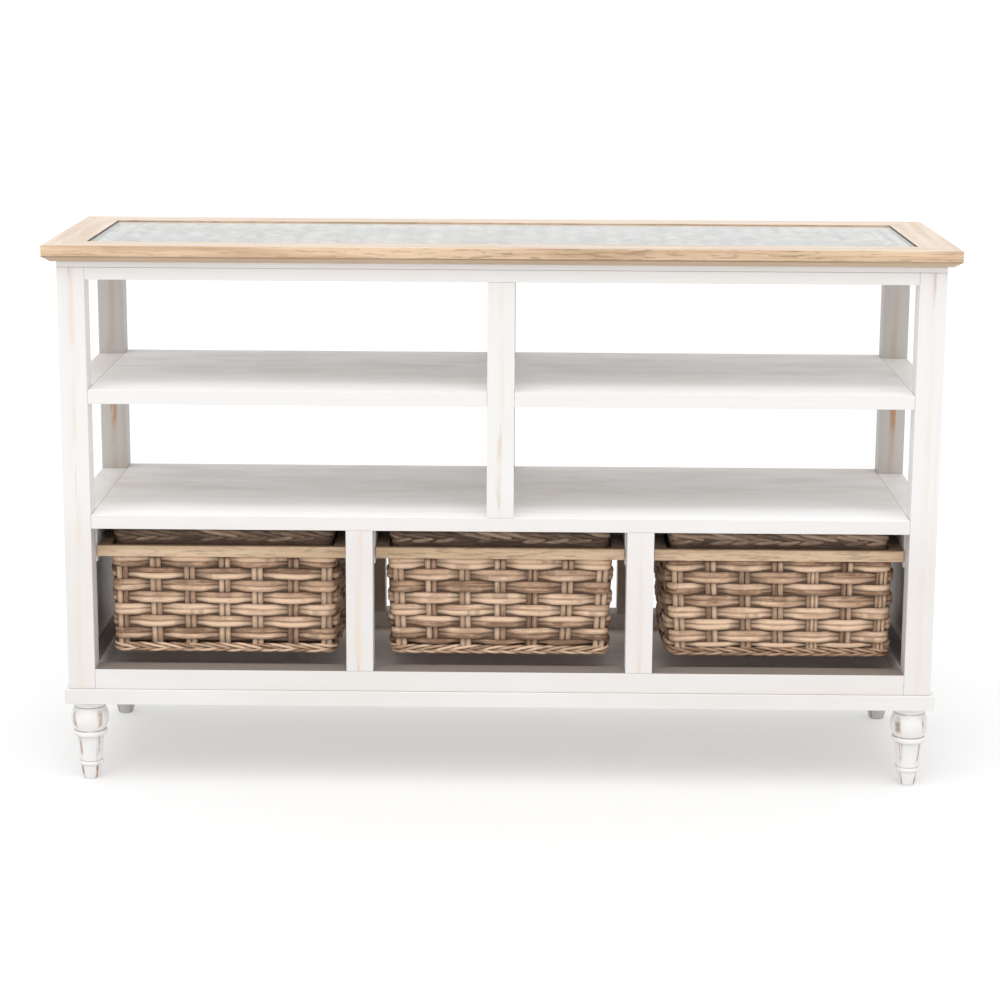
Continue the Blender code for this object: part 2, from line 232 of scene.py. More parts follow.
def white_paint(name, axis, centre=None, streak=0.0, brown=0.0, seed=0.0, mottle=0.25, shade=1.0,
                dim=None, dim_up=False, lit=None):
    """Brushed white paint, rubbed through in thin streaks along the grain.

    centre is the middle of a post's face across the grain and streak how hard it is rubbed there.
    brown is how far worn spots go down to dark wood, and mottle how strong the pale rubbed spots are.
    shade is painted shade that greys all but the faces that look back. dim lays painted shade over the
    coat, with dim_up on upward faces only. lit is the depth where painted light on a shelf's front strip
    starts."""
    t = Tree(name)
    place = t.place()
    shift = (seed * 1.37, seed * 2.11, seed * 0.73)
    grain = t.stretch(place, along(axis, 1.0, 0.035), shift)
    fibre = t.noise(grain, 260.0, 5.0, 0.6)
    brush = t.noise(grain, 90.0, 4.0, 0.5, 0.3)
    cloud = t.noise(t.stretch(place, along(axis, 1.0, 0.35), shift), 9.0, 3.0)
    # Painted shade: a shade below 1 greys the coat and its cloudy tone, and the faces that look back get
    # plain white again.
    white = tuple(c * (1.0 - (1.0 - shade) * k) for c, k in zip(WHITE, (0.93, 1.0, 1.10)))
    colour = t.mix(t.step(fibre, 0.35, 0.75, 0.0, 0.16), white, scaled(white, 0.84))
    colour = t.mix(t.step(cloud, 0.42, 0.72, 0.0, 0.16), colour, scaled((0.76, 0.70, 0.645), shade))
    if shade < 1.0:
        behind = t.facing(1)
        behind = t.times(t.step(behind, 0.5, 0.9), t.step(fibre, 0.30, 0.80, 1.0, 0.70))
        colour = t.mix(behind, colour, WHITE)
    tall = t.part(place, 2)
    # Painted shade, darker towards the bottom in clouds, between the two heights given at the top.
    low_shade = t.times(t.step(tall, SHADE_START, SHADE_FULL), t.step(cloud, 0.20, 0.70, 0.35, 1.0))
    shaded_white = tuple(c * k for c, k in zip(white, (0.88, 0.855, 0.84)))
    colour = t.mix(t.times(low_shade, 0.75), colour, shaded_white)
    # Rubbed patches anywhere on the piece.
    thread = t.noise(t.stretch(place, along(axis, 1.0, 0.022), shift), 46.0, 3.0, 0.62, 0.15)
    patch = t.noise(t.stretch(place, along(axis, 1.0, 0.3), shift), 5.5, 2.0)
    rubbed = t.times(t.step(thread, 0.60, 0.74), t.step(patch, 0.46, 0.66))
    colour = t.mix(t.times(rubbed, mottle), colour, BEIGE)
    if centre is not None:
        colour = rub_post(t, colour, place, shift, thread, tall, centre, streak, brown)
    if brown:
        worn = t.times(t.step(thread, 0.52, 0.70), t.step(patch, 0.40, 0.62))
        colour = t.mix(t.times(worn, brown), colour, WORN_WOOD)
    # Painted shade: dim puts a shade tone, brushed and clouded, over the coat, only on upward faces with
    # dim_up.
    if dim:
        shade_coat = t.mix(t.step(brush, 0.3, 0.7), dim, scaled(dim, 0.90))
        shade_coat = t.mix(t.step(cloud, 0.35, 0.7, 0.0, 0.5), shade_coat, scaled(dim, 1.08))
        share = 1.0
        if dim_up:
            up = t.step(t.facing(2), 0.80, 0.97)
            share = t.times(up, t.step(t.size(t.part(place, 0)), *SHADE_END))
        colour = t.mix(share, colour, shade_coat)
    # Painted shade towards a shelf's back and painted light on its front strip.
    if lit is not None:
        colour = light_shelf(t, colour, place, shift, axis, cloud, lit)
    height = t.plus(t.times(fibre, 0.6), t.times(brush, 0.8))
    height = t.minus(height, t.times(rubbed, 0.8))
    normal = t.bump(height, 0.18, 0.0006)
    rough = t.step(brush, 0.25, 0.75, 0.42, 0.58)
    return t.principled(colour, rough, normal, Specular_IOR_Level=0.35)


# Painted shadow along the arris, and painted shade on the chamfer below it.
OAK_ARRIS = (0.25, 0.15, 0.085)
OAK_CHAMFER = (0.50, 0.37, 0.265)
OAK_KNOT = (0.20, 0.11, 0.06)
OAK_PALE_UP = (0.70, 0.60, 0.51), (0.61, 0.50, 0.405)
# Painted shadow on the border's inner walls where the glass ends.
GLASS_GAP = (0.10, 0.075, 0.05)
# Where the painted shadow lies: the border's inner walls at the left and right ends of the glass, as a
# distance from the middle.
GLASS_END = (0.6860, 0.6854)


def oak(name, axis, light, dark, knots=(), line=0.5, rough_low=0.42, pale_up=0.0, arris=None, crown=None):
    """Pale open-grained wood with long pores, growth bands and a few small knots.

    line is how strong the pores are. bleach makes the faces that look up paler and greyer, and crown is
    the colour of painted shade that darkens them instead. arris is the height of the edge above the
    border's chamfer: the wood below it gets painted shade, and the edge itself a broken painted shadow
    line."""
    t = Tree(name)
    place = t.place()
    warp = t.noise(t.stretch(place, along(axis, 1.0, 0.18)), 14.0, 3.0, out="Color")
    bend = t.add("VectorMath", operation="MULTIPLY_ADD")
    for socket, value in zip(bend.inputs, (warp, (0.016, 0.016, 0.016), place)):
        t.feed(socket, value)
    bent = bend.outputs[0]
    rings = t.noise(t.stretch(bent, along(axis, 1.0, 0.055)), 62.0, 3.0, 0.55)
    pores = t.noise(t.stretch(place, along(axis, 1.0, 0.03)), 420.0, 3.0, 0.6)
    broad = t.noise(t.stretch(place, along(axis, 1.0, 0.12)), 11.0, 3.0)
    colour = t.mix(t.step(rings, 0.34, 0.68), light, dark)
    colour = t.mix(t.step(broad, 0.35, 0.70, 0.0, 0.35), colour, scaled(dark, 0.86))
    tiny = t.times(t.step(pores, 0.56, 0.72), line)
    colour = t.mix(tiny, colour, scaled(dark, 0.55))
    fleck = t.noise(t.stretch(bent, along(axis, 1.0, 0.11)), 250.0, 3.0, 0.55)
    fleck = t.times(t.step(fleck, 0.53, 0.63), t.step(broad, 0.34, 0.60, 0.3, 1.0))
    colour = t.mix(t.times(fleck, line * 0.75), colour, scaled(dark, 0.50))
    knotted = None
    for spot, size in knots:
        squeeze = along(axis, 1.0, 0.45)
        away = t.add("VectorMath", operation="DISTANCE")
        t.feed(away.inputs[0], t.stretch(bent, squeeze))
        t.feed(away.inputs[1], tuple(c * k for c, k in zip(spot, squeeze)))
        one = t.step(away.outputs["Value"], size, size * 0.25)
        knotted = one if knotted is None else t.math("MAXIMUM", knotted, one)
    if knotted is not None:
        knotted = t.times(knotted, t.step(pores, 0.35, 0.60, 0.45, 1.0))
        colour = t.mix(t.times(knotted, 0.75), colour, OAK_KNOT)
    # Painted shade on the chamfer below the arris, and a broken painted shadow line along it.
    if arris:
        level = t.part(place, 2)
        below = t.step(level, arris + 0.0004, arris - 0.0006)
        colour = t.mix(t.times(below, 0.75), colour, OAK_CHAMFER)
        gap = t.size(t.minus(level, arris))
        edge = t.times(t.step(gap, 0.0019, 0.0007), t.step(broad, 0.25, 0.65, 0.55, 1.0))
        colour = t.mix(t.times(edge, 0.9), colour, OAK_ARRIS)
    # Painted shadow on the border's inner walls at the glass's left and right ends.
    if pale_up and axis == 1:
        wall = t.step(t.size(t.part(place, 0)), *GLASS_END)
        wall_shadow = t.times(wall, t.step(t.size(t.facing(0)), 0.4, 0.6))
        colour = t.mix(wall_shadow, colour, GLASS_GAP)
    # Faces that look up are made paler and greyer.
    if pale_up:
        pale = t.mix(t.step(rings, 0.34, 0.68), *OAK_PALE_UP)
        pale = t.mix(t.times(tiny, 0.4), pale, dark)
        pale = t.mix(t.times(fleck, 0.35), pale, dark)
        colour = t.mix(t.times(t.step(t.facing(2), 0.6, 0.95), pale_up), colour, pale)
    # Painted shade on the faces that look up, in the crown colour.
    if crown:
        shaded_top = t.mix(t.step(rings, 0.34, 0.68), crown, scaled(crown, 0.7))
        colour = t.mix(t.times(t.step(t.facing(2), 0.5, 0.9), 0.9), colour, shaded_top)
    height = t.plus(t.times(pores, -0.7), t.times(rings, 0.5))
    normal = t.bump(height, 0.25, 0.0006)
    rough = t.step(rings, 0.3, 0.7, rough_low, rough_low + 0.14)
    return t.principled(colour, rough, normal, Specular_IOR_Level=0.4)


# How far from the middle the mat gets painted shadow, at the border's walls.
MAT_END = (0.6815, 0.6830)


def strand_material(name, light, middle, dark, deep, rough=0.55, drift=0.0):
    """Peeled cane: colour by strand, long fibres along it, and painted shade in the hollows between
    strands.

    drift draws thin wavy dark lines along a flat mat, and lays painted shadow on its two ends."""
    t = Tree(name)
    fibre = t.add("Attribute", attribute_name="fibre").outputs["Vector"]
    hollow = t.add("Attribute", attribute_name="hollow").outputs["Fac"]
    tone = t.add("Attribute", attribute_name="tone").outputs["Fac"]
    lines = t.noise(t.stretch(fibre, (14.0, 3.4, 1.0)), 1.0, 4.0, 0.7)
    stain = t.noise(t.stretch(fibre, (26.0, 0.35, 1.0)), 1.0, 4.0, 0.7)
    shade = t.plus(t.times(lines, 0.55), t.times(stain, 0.45))
    shade = t.plus(shade, t.times(t.minus(tone, 0.5), 0.30))
    colour = t.ramp(shade, [(0.32, dark), (0.47, middle), (0.62, light)])
    # Painted shade: the deeper a point lies in the weave, the nearer it goes to the deep colour.
    colour = t.mix(hollow, colour, deep)
    if drift:
        place = t.place()
        wavy = t.noise(t.stretch(place, (0.30, 1.0, 0.0)), 44.0, 1.0, 0.5, 0.8)
        line = t.size(t.minus(wavy, 0.5))
        colour = t.mix(t.times(t.step(line, 0.075, 0.035), drift), colour, scaled(dark, 0.45))
        # Painted shadow on the mat's two ends, at the border's walls.
        colour = t.mix(t.step(t.size(t.part(place, 0)), *MAT_END), colour, deep)
    knuckle = t.noise(t.stretch(fibre, (14.0, 0.0, 1.0)), 1.0, 1.0)
    ring = t.times(t.step(knuckle, 0.62, 0.66), t.step(knuckle, 0.72, 0.68))
    colour = t.mix(t.times(ring, 0.35), colour, deep)
    normal = t.bump(lines, 0.4, 0.0007)
    gloss = t.step(lines, 0.3, 0.7, rough - 0.08, rough + 0.12)
    return t.principled(colour, gloss, normal, Specular_IOR_Level=0.4)


GLASS_TINT = (0.975, 0.99, 0.985, 1.0)
GLASS_SHADOW = (0.93, 0.95, 0.945, 1.0)
GLASS_IOR = 1.22


def glass_material():
    """A clear pane that bends and reflects light, and lets the light for shadows straight through."""
    t = Tree("table_glass")
    place = t.place()
    smear = t.step(t.noise(place, 6.0, 3.0), 0.3, 0.8, 0.0, 0.012)
    pane = t.add("BsdfPrincipled", {"Base Color": GLASS_TINT, "Roughness": smear})
    pane.inputs["Transmission Weight"].default_value = 1.0
    pane.inputs["IOR"].default_value = GLASS_IOR
    clear = t.add("BsdfTransparent", {"Color": GLASS_SHADOW})
    mixed = t.add("MixShader")
    shadow = t.add("LightPath").outputs["Is Shadow Ray"]
    for socket, value in zip(mixed.inputs, (shadow, pane.outputs[0], clear.outputs[0])):
        t.feed(socket, value)
    return t.surface(mixed.outputs[0])


def put(node, material):
    """Gives one material to a whole object."""
    node.data.materials.clear()
    node.data.materials.append(material)


# ---------------------------------------------------------------- mesh helpers
X_WAY, Y_WAY, Z_WAY = [1.0, 0.0, 0.0], [0.0, 1.0, 0.0], [0.0, 0.0, 1.0]


def same(direction, count):
    """One direction, repeated for every point of a path."""
    return np.tile(direction, (count, 1))


def add_piece(name, mesh, material):
    piece = bpy.data.objects.new(name, mesh)
    bpy.context.scene.collection.objects.link(piece)
    mesh.materials.append(material)
    return piece


class Strands:
    """Collects tubes with an oval section into one mesh, with what the cane material reads.

    sides is the number of corners of a tube's section, and rim paints shade on its upper and lower edges."""

    def __init__(self, sides, rim=0.0):
        self.sides, self.rim = sides, rim
        self.points, self.faces = [], []
        self.fibre, self.hollow, self.tone = [], [], []
        self.count = 0
        self.number = 0

    def tube(self, path, outward, up, wide, tall, closed, tone, hollow):
        """path: n points. outward and up: the section's two directions. wide and tall: half sizes along
        them. tone: the strand's own colour, 0 to 1. hollow: how deep in the weave each point lies, which
        the cane material paints as shade."""
        n = len(path)
        angle = np.arange(self.sides) * 2.0 * math.pi / self.sides
        wide = np.broadcast_to(np.asarray(wide, float), (n,))
        tall = np.broadcast_to(np.asarray(tall, float), (n,))
        ring = (
            path[:, None, :]
            + outward[:, None, :] * (np.cos(angle)[None, :, None] * wide[:, None, None])
            + up[:, None, :] * (np.sin(angle)[None, :, None] * tall[:, None, None])
        )
        step = np.linalg.norm(np.diff(path, axis=0), axis=1)
        length = np.concatenate([[0.0], np.cumsum(step)])
        base = self.count
        rows = n if closed else n - 1
        for i in range(rows):
            a, b = base + i * self.sides, base + ((i + 1) % n) * self.sides
            for k in range(self.sides):
                j = (k + 1) % self.sides
                self.faces.append((a + k, a + j, b + j, b + k))
        if not closed:
            self.faces.append(tuple(base + k for k in reversed(range(self.sides))))
            last = base + (n - 1) * self.sides
            self.faces.append(tuple(last + k for k in range(self.sides)))
        self.points.append(ring.reshape(-1, 3))
        around = np.sin(angle + 0.6) * 1.4 + np.cos(angle * 2.0) * 0.4
        mark = np.zeros((n, self.sides, 3))
        mark[:, :, 0] = length[:, None]
        mark[:, :, 1] = around[None, :]
        mark[:, :, 2] = self.number * 7.3
        self.fibre.append(mark.reshape(-1, 3))
        # Painted shade, by depth in the weave and, by rim, towards the section's upper and lower edges.
        under = np.repeat(np.asarray(hollow, float), self.sides)
        under = under + (1.0 - under) * self.rim * np.tile(np.abs(np.sin(angle)), n)
        self.hollow.append(under)
        self.tone.append(np.full(n * self.sides, tone))
        self.count += n * self.sides
        self.number += 1

    def build(self, name, material):
        mesh = bpy.data.meshes.new(name)
        points = np.concatenate(self.points)
        mesh.from_pydata(points.tolist(), [], self.faces)
        for label, kind, key, values in (
            ("fibre", "FLOAT_VECTOR", "vector", self.fibre),
            ("hollow", "FLOAT", "value", self.hollow),
            ("tone", "FLOAT", "value", self.tone),
        ):
            layer = mesh.attributes.new(label, kind, "POINT")
            layer.data.foreach_set(key, np.concatenate(values).astype(np.float32).ravel())
        mesh.polygons.foreach_set("use_smooth", [len(f) == 4 for f in self.faces])
        mesh.update()
        return add_piece(name, mesh, material)


def rounded_path(half_x, half_y, radius, count):
    """Evenly spaced points round a rounded rectangle, from the front's left end to the right, with
    outward normals and the distance along, all in metres."""
    first = (-(half_x - radius), -half_y)
    dense, normal = [first], [(0.0, -1.0)]
    corners = ((half_x, -half_y), (half_x, half_y), (-half_x, half_y), (-half_x, -half_y))
    for (cx, cy), start in zip(corners, (-90.0, 0.0, 90.0, 180.0)):
        mx = cx - math.copysign(radius, cx)
        my = cy - math.copysign(radius, cy)
        for step in range(25):
            turn = math.radians(start + 90.0 * step / 24)
            dense.append((mx + radius * math.cos(turn), my + radius * math.sin(turn)))
            normal.append((math.cos(turn), math.sin(turn)))
    dense, normal = np.array(dense + [first]), np.array(normal + [(0.0, -1.0)])
    run = np.concatenate([[0.0], np.cumsum(np.linalg.norm(np.diff(dense, axis=0), axis=1))])
    total = run[-1]
    at = np.arange(count) * total / count
    xy = np.stack([np.interp(at, run, dense[:, k]) for k in (0, 1)], 1)
    nn = np.stack([np.interp(at, run, normal[:, k]) for k in (0, 1)], 1)
    nn /= np.linalg.norm(nn, axis=1)[:, None]
    return xy, nn, at, total


def lathe(name, profile, centre, sides, material):
    """A turned solid from a profile of (height, radius), closed at both ends."""
    verts, faces = [], []
    for height, radius in profile:
        for k in range(sides):
            turn = 2.0 * math.pi * k / sides
            x, y = centre[0] + radius * math.cos(turn), centre[1] + radius * math.sin(turn)
            verts.append((x, y, height))
    for row in range(len(profile) - 1):
        for k in range(sides):
            j = (k + 1) % sides
            a, b = row * sides, (row + 1) * sides
            faces.append((a + k, a + j, b + j, b + k))
    faces.append(tuple(reversed(range(sides))))
    faces.append(tuple(range((len(profile) - 1) * sides, len(profile) * sides)))
    mesh = bpy.data.meshes.new(name)
    mesh.from_pydata(verts, [], faces)
    mesh.polygons.foreach_set("use_smooth", [len(f) == 4 for f in faces])
    mesh.update()
    return add_piece(name, mesh, material)


# ---------------------------------------------------------------- camera, light and floor
CAM_PLACE = (0.0338, -4.3845, 1.3890)
CAM_YAW, CAM_DOWN, CAM_ROLL = -0.467, 12.061, 0.334
CAM_LENS = 92.17
SENSOR = 36.0
WORLD_LIGHT = 0.95
SUN_LIGHT = 1.45
SUN_SPREAD = 60.0
SUN_TURN = (24.0, -3.0)
FLOOR_GREY = (0.56, 0.56, 0.56), (0.545, 0.545, 0.545)
FLOOR_GLOW = 0.31
FLOOR_REACH = 90.0


def make_camera():
    data = bpy.data.cameras.new("camera")
    data.sensor_width = SENSOR
    data.lens = CAM_LENS
    data.clip_start = 0.1
    data.clip_end = 200.0
    camera = bpy.data.objects.new("camera", data)
    bpy.context.scene.collection.objects.link(camera)
    a, b, c = (math.radians(v) for v in (CAM_YAW, CAM_DOWN, CAM_ROLL))
    ahead = np.array([math.sin(a) * math.cos(b), math.cos(a) * math.cos(b), -math.sin(b)])
    right = np.array([math.cos(a), -math.sin(a), 0.0])
    up = np.cross(right, ahead)
    turned_right = right * math.cos(c) + up * math.sin(c)
    turned_up = -right * math.sin(c) + up * math.cos(c)
    matrix = Matrix.Identity(4)
    for row in range(3):
        matrix[row][0] = turned_right[row]
        matrix[row][1] = turned_up[row]
        matrix[row][2] = -ahead[row]
        matrix[row][3] = CAM_PLACE[row]
    camera.matrix_world = matrix
    bpy.context.scene.camera = camera


def make_stage():
    scene = bpy.context.scene
    scene.view_settings.view_transform = "Standard"
    scene.view_settings.look = "None"
    world = bpy.data.worlds.new("studio")
    scene.world = world
    world.use_nodes = True
    back = world.node_tree.nodes["Background"]
    back.inputs[0].default_value = (1.0, 1.0, 1.0, 1.0)
    back.inputs[1].default_value = WORLD_LIGHT
    t = Tree("floor_white")
    speck = t.noise(t.place(), 40.0, 2.0)
    colour = t.mix(t.step(speck, 0.3, 0.7, 0.0, 0.02), *FLOOR_GREY)
    white = (1.0, 1.0, 1.0, 1.0)
    t.principled(colour, 0.9, Specular_IOR_Level=0.0, Emission_Color=white, Emission_Strength=FLOOR_GLOW)
    mesh = bpy.data.meshes.new("floor")
    corners = [(FLOOR_REACH * x, FLOOR_REACH * y, 0.0) for x, y in ((-1, -1), (1, -1), (1, 1), (-1, 1))]
    mesh.from_pydata(corners, [], [(0, 1, 2, 3)])
    floor = add_piece("floor", mesh, t.material)
    sky = bpy.data.lights.new("sky_panel", "SUN")
    sky.energy = SUN_LIGHT
    sky.angle = math.radians(SUN_SPREAD)
    lamp = bpy.data.objects.new("sky_panel", sky)
    scene.collection.objects.link(lamp)
    lamp.rotation_euler = (math.radians(SUN_TURN[0]), math.radians(SUN_TURN[1]), 0.0)


# ---------------------------------------------------------------- white woodwork
# Painted shade inside the bays: tones for the side panels and the bay floor, and a dark one for the bottom
# rails' upward faces.
PANEL_SHADE = (0.82, 0.80, 0.79)
BAY_FLOOR_SHADE = (0.80, 0.73, 0.675)
BAY_SILL_SHADE = (0.26, 0.225, 0.20)
# The depth from which a shelf's upward faces get painted light, forwards.
SHELF_LIT = -0.165
# Upright pieces at the front, and at the rear, where the paint is more worn and painted shade greys it.
FRONT_POST = {"streak": 0.55, "brown": 0.0, "shade": 1.0, "mottle": 0.38}
REAR_POST = {"streak": 0.80, "brown": 0.34, "shade": 0.68, "mottle": 0.45}


def dress_woodwork():
    plain = [white_paint("white_paint_" + "xyz"[a], a, seed=a + 1.0) for a in range(3)]
    # The bays' side panels and floor take painted shade all over, the bottom rails on their upward faces.
    inner_panel = white_paint("painted_shade_panel", 2, seed=5.0, dim=PANEL_SHADE)
    inner_floor = white_paint("painted_shade_floor", 0, seed=6.0, dim=BAY_FLOOR_SHADE)
    shelves, base_rails = {}, {}
    # Shelves get painted shade towards the back and painted light on their front strip.
    for a in (0, 1):
        shelves[a] = white_paint(
            "white_paint_shelf_" + "xyz"[a], a, seed=9.0 + a, mottle=0.35, lit=SHELF_LIT
        )
        base_rails[a] = white_paint(
            "white_paint_base_" + "xyz"[a], a, seed=7.0 + a, mottle=0.6, dim=BAY_SILL_SHADE, dim_up=True
        )
    for name, node in nodes.items():
        if name.startswith(("top_", "basket_", "leg_")):
            continue
        low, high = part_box(name)
        size = high - low
        axis = max(range(3), key=lambda k: size[k])
        if name.startswith(("post_", "centre_post", "stile_")):
            seed = 3.0 + 1.7 * (sum(ord(c) for c in name) % 13)
            kind = REAR_POST if "rear" in name else FRONT_POST
            mid = (low[0] + high[0]) / 2.0
            material = white_paint("white_paint_" + name, 2, centre=mid, seed=seed, **kind)
        elif name.startswith("side_panel"):
            material = inner_panel
        elif "shelf_board" in name or "shelf_rail" in name:
            material = shelves[axis]
        elif name == "bottom_board":
            material = inner_floor
        elif name.startswith("bottom_rail"):
            material = base_rails[axis]
        else:
            material = plain[axis]
        put(node, material)


# ---------------------------------------------------------------- top
OAK_LIGHT, OAK_DARK = (0.76, 0.565, 0.385), (0.54, 0.365, 0.225)
# Places and sizes of the knots in the border's front edge, and how far below its top the chamfer starts.
OAK_KNOTS = [
    ((0.140, -0.235, 0.912), 0.007),
    ((0.158, -0.235, 0.909), 0.006),
    ((0.215, -0.235, 0.906), 0.005),
    ((-0.165, -0.235, 0.909), 0.006),
]
ARRIS_DROP = 0.0185
BOARD_LIGHT, BOARD_DARK = (0.55, 0.53, 0.48), (0.46, 0.43, 0.38)
MAT_LIGHT, MAT_MIDDLE = (0.58, 0.565, 0.54), (0.44, 0.43, 0.405)
# MAT_DEEP is the painted shade colour in the mat's hollows and at its ends.
MAT_DARK, MAT_DEEP = (0.28, 0.27, 0.245), (0.075, 0.07, 0.062)


def dress_top():
    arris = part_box("top_front_rail")[1][2] - ARRIS_DROP
    long_oak = oak("oak_long", 0, OAK_LIGHT, OAK_DARK, OAK_KNOTS, line=0.8, pale_up=0.9, arris=arris)
    side_oak = oak("oak_side", 1, OAK_LIGHT, OAK_DARK, line=0.6, pale_up=0.9, arris=arris)
    for name, material in (
        ("top_front_rail", long_oak),
        ("top_back_rail", long_oak),
        ("top_left_rail", side_oak),
        ("top_right_rail", side_oak),
    ):
        put(nodes[name], material)
    put(nodes["top_glass"], glass_material())


def woven_top():
    """The mat under the glass: doubled canes over and under cross canes, a twisted band at each end."""
    low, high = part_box("top_woven_panel")
    rng = random.Random(11)
    top = high[2] - 0.0005
    amp, thick, tall = 0.0028, 0.0020, 0.0037
    mid = top - amp - thick - 0.0006
    band = 0.040
    x0, x1 = low[0] + band, high[0] - band
    y0, y1 = low[1] + 0.002, high[1] - 0.002
    pitch = 0.0335
    columns = int(round((x1 - x0) / pitch))
    pitch = (x1 - x0) / columns
    rows = int(round((y1 - y0) / 0.0155))
    row_pitch = (y1 - y0) / rows
    mat = Strands(6)
    steps = columns * 6 + 1
    x = np.linspace(x0, x1, steps)
    phase = (x - x0) / pitch
    for row in range(rows):
        for half in (-0.5, 0.5):
            wander = 0.0007 * np.sin(x * rng.uniform(20, 40) + rng.uniform(0, 6.3))
            wave = np.cos(math.pi * (phase + row + 0.5))
            z = mid + amp * wave + 0.0003 * np.sin(x * 90.0 + rng.uniform(0, 6.3))
            pinch = 0.80 + 0.20 * np.clip(wave, 0, 1)
            yy = y0 + (row + 0.5) * row_pitch + half * 0.5 * row_pitch * pinch + wander
            path = np.stack([x, yy, z], 1)
            up = same(Y_WAY, steps)
            out = same(Z_WAY, steps)
            # Painted shade where a cane dips under the cross canes.
            hollow = np.clip(0.42 - 0.55 * wave, 0.0, 0.85)
            mat.tube(path, out, up, thick, tall * pinch, False, rng.random(), hollow)
    ysteps = rows * 4 + 1
    y = np.linspace(y0, y1, ysteps)
    for column in range(columns):
        centre = x0 + (column + 0.5) * pitch
        for off in (-0.0038, 0.0038):
            wave = -np.cos(math.pi * (column + 0.5 + (y - y0) / row_pitch))
            across = np.full(ysteps, centre + off + rng.uniform(-4e-4, 4e-4))
            path = np.stack([across, y, mid + 0.0004 * wave], 1)
            out = same(Z_WAY, ysteps)
            up = same(X_WAY, ysteps)
            # A little painted shade all along the cross canes.
            mat.tube(path, out, up, 0.0016, 0.0034, False, rng.random(), np.full(ysteps, 0.1))
    # End bands: four canes twisted round each other, twice side by side.
    tsteps = 140
    y = np.linspace(y0, y1, tsteps)
    for sign, edge in ((1.0, low[0] + 0.001), (-1.0, high[0] - 0.001)):
        for lane in range(2):
            centre = edge + sign * (0.0098 + lane * 0.0192)
            turn_way = 1.0 if lane == 0 else -1.0
            for strand in range(4):
                turn = turn_way * 2.0 * math.pi * (y - y0) / 0.085 + strand * math.pi / 2.0
                across = centre + 0.0062 * np.cos(turn)
                path = np.stack([across, y, mid - 0.0004 + 0.0019 * np.sin(turn)], 1)
                out = same(Z_WAY, tsteps)
                up = same(X_WAY, tsteps)
                # Painted shade where a strand of the band turns underneath.
                hollow = np.clip(-np.sin(turn), 0, 1) * 0.5
                mat.tube(path, out, up, 0.0018, 0.0042, False, rng.random(), hollow)
    cane = strand_material("whitewashed_cane", MAT_LIGHT, MAT_MIDDLE, MAT_DARK, MAT_DEEP, 0.6, drift=0.75)
    piece = mat.build("woven_mat", cane)
    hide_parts("top_woven_panel")
    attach(piece, "carcass")
    # Backing board below the mat.
    board_top = mid - amp - thick - 0.0008
    verts = [(a, b, c) for a in (low[0], high[0]) for b in (low[1], high[1]) for c in (low[2], board_top)]
    faces = [(0, 1, 3, 2), (4, 6, 7, 5), (0, 4, 5, 1), (2, 3, 7, 6), (0, 2, 6, 4), (1, 5, 7, 3)]
    mesh = bpy.data.meshes.new("woven_mat_backing")
    mesh.from_pydata(verts, [], faces)
    backing = add_piece("woven_mat_backing", mesh, oak("backing_board", 0, BOARD_LIGHT, BOARD_DARK))
    soft = backing.modifiers.new("edges", "BEVEL")
    soft.width = 0.001
    soft.segments = 2
    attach(backing, "carcass")


# ---------------------------------------------------------------- legs
# The leg's profile in millimetres, as (height, radius).
LEG = [
    (0.0, 11.8), (0.5, 12.7), (1.4, 13.6), (4.0, 14.6), (8.0, 15.6), (12.0, 16.5), (16.0, 17.2),
    (20.0, 17.8), (23.6, 18.1), (24.5, 18.3), (25.1, 19.0), (25.8, 20.1), (26.8, 21.0), (28.0, 21.5),
    (29.2, 21.6), (30.4, 21.2), (31.4, 20.4), (32.0, 19.6), (32.6, 19.2), (34.0, 19.2), (40.0, 19.4),
    (46.0, 19.7), (52.0, 20.2), (58.0, 20.8), (64.0, 21.4), (70.0, 22.0), (74.4, 22.5), (75.8, 22.9),
    (76.6, 23.8), (77.2, 25.2), (78.0, 26.8), (79.2, 28.2), (80.8, 29.0), (82.4, 29.3), (84.0, 29.1),
    (85.4, 28.4), (86.4, 27.4), (87.0, 26.5), (87.6, 26.1), (88.4, 26.2), (90.0, 27.0), (93.0, 28.5),
    (96.0, 29.8), (99.0, 30.8), (102.0, 31.5), (105.0, 31.9), (108.5, 32.1), (112.0, 31.9), (115.0, 31.4),
    (118.0, 30.7), (121.0, 29.7), (124.0, 28.5), (126.6, 27.3), (128.2, 26.4), (128.9, 26.1), (129.5, 26.2),
    (130.2, 26.6), (134.0, 26.7), (138.2, 26.7), (139.0, 26.4), (139.5, 25.8),
]


# Where a leg is rubbed: how much, by the share of its height.
LEG_RUBBED = [
    (0.0, 0.2), (0.03, 1.0), (0.145, 1.0), (0.19, 0.1), (0.30, 0.2), (0.36, 0.9), (0.52, 0.7),
    (0.60, 0.0), (0.66, 0.0), (0.72, 0.9), (0.82, 0.9), (0.90, 0.0), (1.0, 0.0),
]
# Painted shade lines in its grooves: height, width and strength.
LEG_GROOVES = [
    (0.0874, 0.0016, 0.75), (0.1289, 0.0015, 0.7), (0.1388, 0.0012, 0.6),
    (0.0328, 0.0016, 0.5), (0.0760, 0.0010, 0.35), (0.0248, 0.0010, 0.35),
]
LEG_HEIGHT = 0.14
LEG_SIDES = 72
# Painted shade: the rear legs' coat is darkened by this share.
REAR_LEG_SHADE = 0.62


